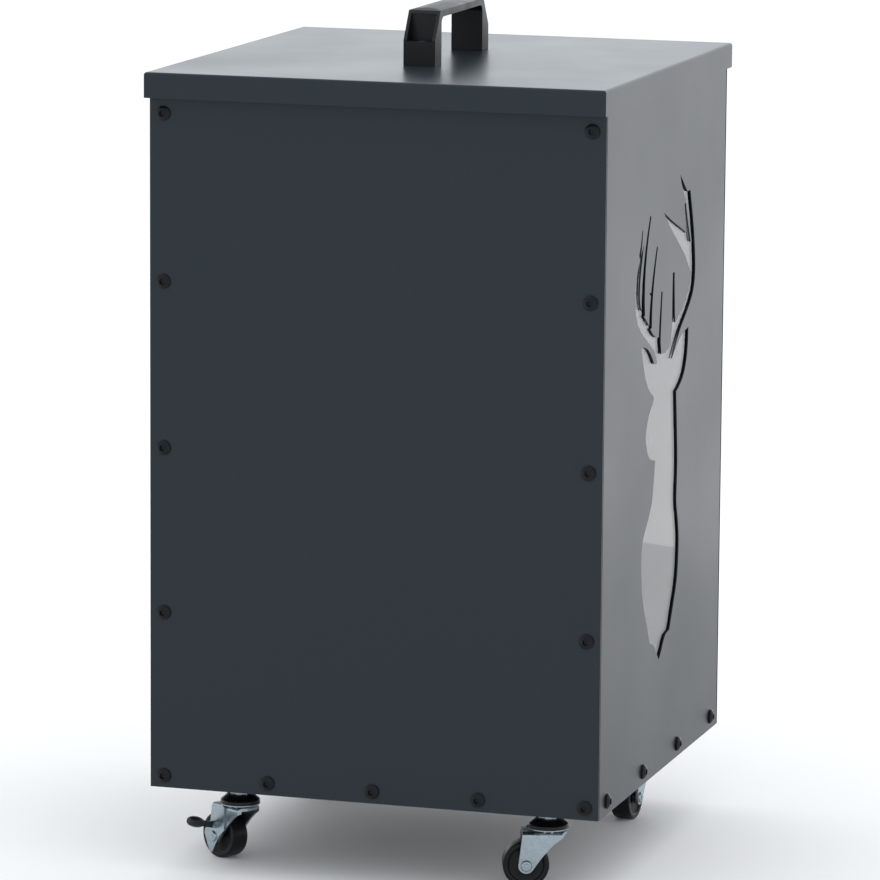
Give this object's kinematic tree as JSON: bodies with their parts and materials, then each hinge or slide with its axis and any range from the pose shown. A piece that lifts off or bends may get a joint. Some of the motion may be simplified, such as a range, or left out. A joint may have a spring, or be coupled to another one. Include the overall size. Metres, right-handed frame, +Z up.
{
  "type": "pellet storage bin",
  "caption": "Square sheet-steel bin for wood pellets on swivel castors, with a lift-off lid, a bridge handle and a stag silhouette cut out in front of a clear pane.",
  "frame": {"origin": "on the floor, under the middle of the bin", "axes": "+Z up, -Y out of the face with the stag, +X to the right of a viewer who faces the stag"},
  "size_m": [0.3466, 0.336, 0.611],
  "materials": {
    "powder_coat": "satin anthracite powder coat",
    "clear_pane": "polished clear acrylic",
    "foam_seal": "matt closed-cell foam",
    "black_plastic": "fine-grained satin black",
    "black_wheel": "smooth satin black",
    "black_screw": "black oxide, semi-gloss",
    "zinc_steel": "bright zinc plating",
    "bearing_steel": "polished"
  },
  "bodies": {
    "bin": {"front_panel": "powder_coat", "rear_panel": "powder_coat", "left_side_panel": "powder_coat", "right_side_panel": "powder_coat", "floor_tray": "powder_coat", "window_pane": "clear_pane", "window_seal": "foam_seal", "window_clips": "zinc_steel", "window_clip_nuts": "zinc_steel", "left_side_screws": "black_screw", "left_side_nuts": "zinc_steel", "right_side_screws": "black_screw", "right_side_nuts": "zinc_steel", "front_screws": "black_screw", "front_nuts": "zinc_steel", "rear_screws": "black_screw", "rear_nuts": "zinc_steel", "fl_castor_stem": "zinc_steel", "fl_castor_nuts": "zinc_steel", "fl_castor_balls": "bearing_steel", "fl_castor_cap": "black_plastic", "rl_castor_stem": "zinc_steel", "rl_castor_nuts": "zinc_steel", "rl_castor_balls": "bearing_steel", "rl_castor_cap": "black_plastic", "fr_castor_stem": "zinc_steel", "fr_castor_nuts": "zinc_steel", "fr_castor_balls": "bearing_steel", "fr_castor_cap": "black_plastic", "rr_castor_stem": "zinc_steel", "rr_castor_nuts": "zinc_steel", "rr_castor_balls": "bearing_steel", "rr_castor_cap": "black_plastic"},
    "lid": {"lid": "powder_coat", "handle": "black_plastic", "handle_screws": "zinc_steel", "handle_washers": "zinc_steel", "handle_nuts": "zinc_steel"},
    "fl_fork": {"fl_castor_fork": "zinc_steel", "fl_castor_axle": "zinc_steel", "fl_brake_plate": "zinc_steel"},
    "fl_wheel": {"fl_castor_wheel": "black_wheel"},
    "fl_pedal": {"fl_brake_pedal": "black_plastic"},
    "rl_fork": {"rl_castor_fork": "zinc_steel", "rl_castor_axle": "zinc_steel", "rl_brake_plate": "zinc_steel"},
    "rl_wheel": {"rl_castor_wheel": "black_wheel"},
    "rl_pedal": {"rl_brake_pedal": "black_plastic"},
    "fr_fork": {"fr_castor_fork": "zinc_steel", "fr_castor_axle": "zinc_steel"},
    "fr_wheel": {"fr_castor_wheel": "black_wheel"},
    "rr_fork": {"rr_castor_fork": "zinc_steel", "rr_castor_axle": "zinc_steel"},
    "rr_wheel": {"rr_castor_wheel": "black_wheel"}
  },
  "joints": [
    {"name": "lid_lift", "type": "slide", "parent": "bin", "child": "lid", "axis": [0, 0, 1], "range_m": [0, 0.08]},
    {"name": "fl_swivel", "type": "hinge", "parent": "bin", "child": "fl_fork", "pos_m": [-0.115, -0.115, 0.036], "axis": [0, 0, 1], "continuous": true},
    {"name": "fl_roll", "type": "hinge", "parent": "fl_fork", "child": "fl_wheel", "pos_m": [-0.12021, -0.09987, 0.0165], "axis": [-0.9455, -0.3256, 0], "continuous": true},
    {"name": "fl_brake", "type": "hinge", "parent": "fl_fork", "child": "fl_pedal", "pos_m": [-0.10601, -0.09657, 0.0255], "axis": [0.3256, -0.9455, 0], "range_deg": [-26, 0]},
    {"name": "rl_swivel", "type": "hinge", "parent": "bin", "child": "rl_fork", "pos_m": [-0.115, 0.115, 0.036], "axis": [0, 0, 1], "continuous": true},
    {"name": "rl_roll", "type": "hinge", "parent": "rl_fork", "child": "rl_wheel", "pos_m": [-0.10724, 0.12899, 0.0165], "axis": [-0.8746, 0.4848, 0], "continuous": true},
    {"name": "rl_brake", "type": "hinge", "parent": "rl_fork", "child": "rl_pedal", "pos_m": [-0.12065, 0.13471, 0.0255], "axis": [0.4848, 0.8746, 0], "range_deg": [-26, 0]},
    {"name": "fr_swivel", "type": "hinge", "parent": "bin", "child": "fr_fork", "pos_m": [0.115, -0.115, 0.036], "axis": [0, 0, 1], "continuous": true},
    {"name": "fr_roll", "type": "hinge", "parent": "fr_fork", "child": "fr_wheel", "pos_m": [0.09904, -0.11388, 0.0165], "axis": [-0.0698, -0.9976, 0], "continuous": true},
    {"name": "rr_swivel", "type": "hinge", "parent": "bin", "child": "rr_fork", "pos_m": [0.115, 0.115, 0.036], "axis": [0, 0, 1], "continuous": true},
    {"name": "rr_roll", "type": "hinge", "parent": "rr_fork", "child": "rr_wheel", "pos_m": [0.10274, 0.12529, 0.0165], "axis": [-0.6428, -0.766, 0], "continuous": true}
  ]
}
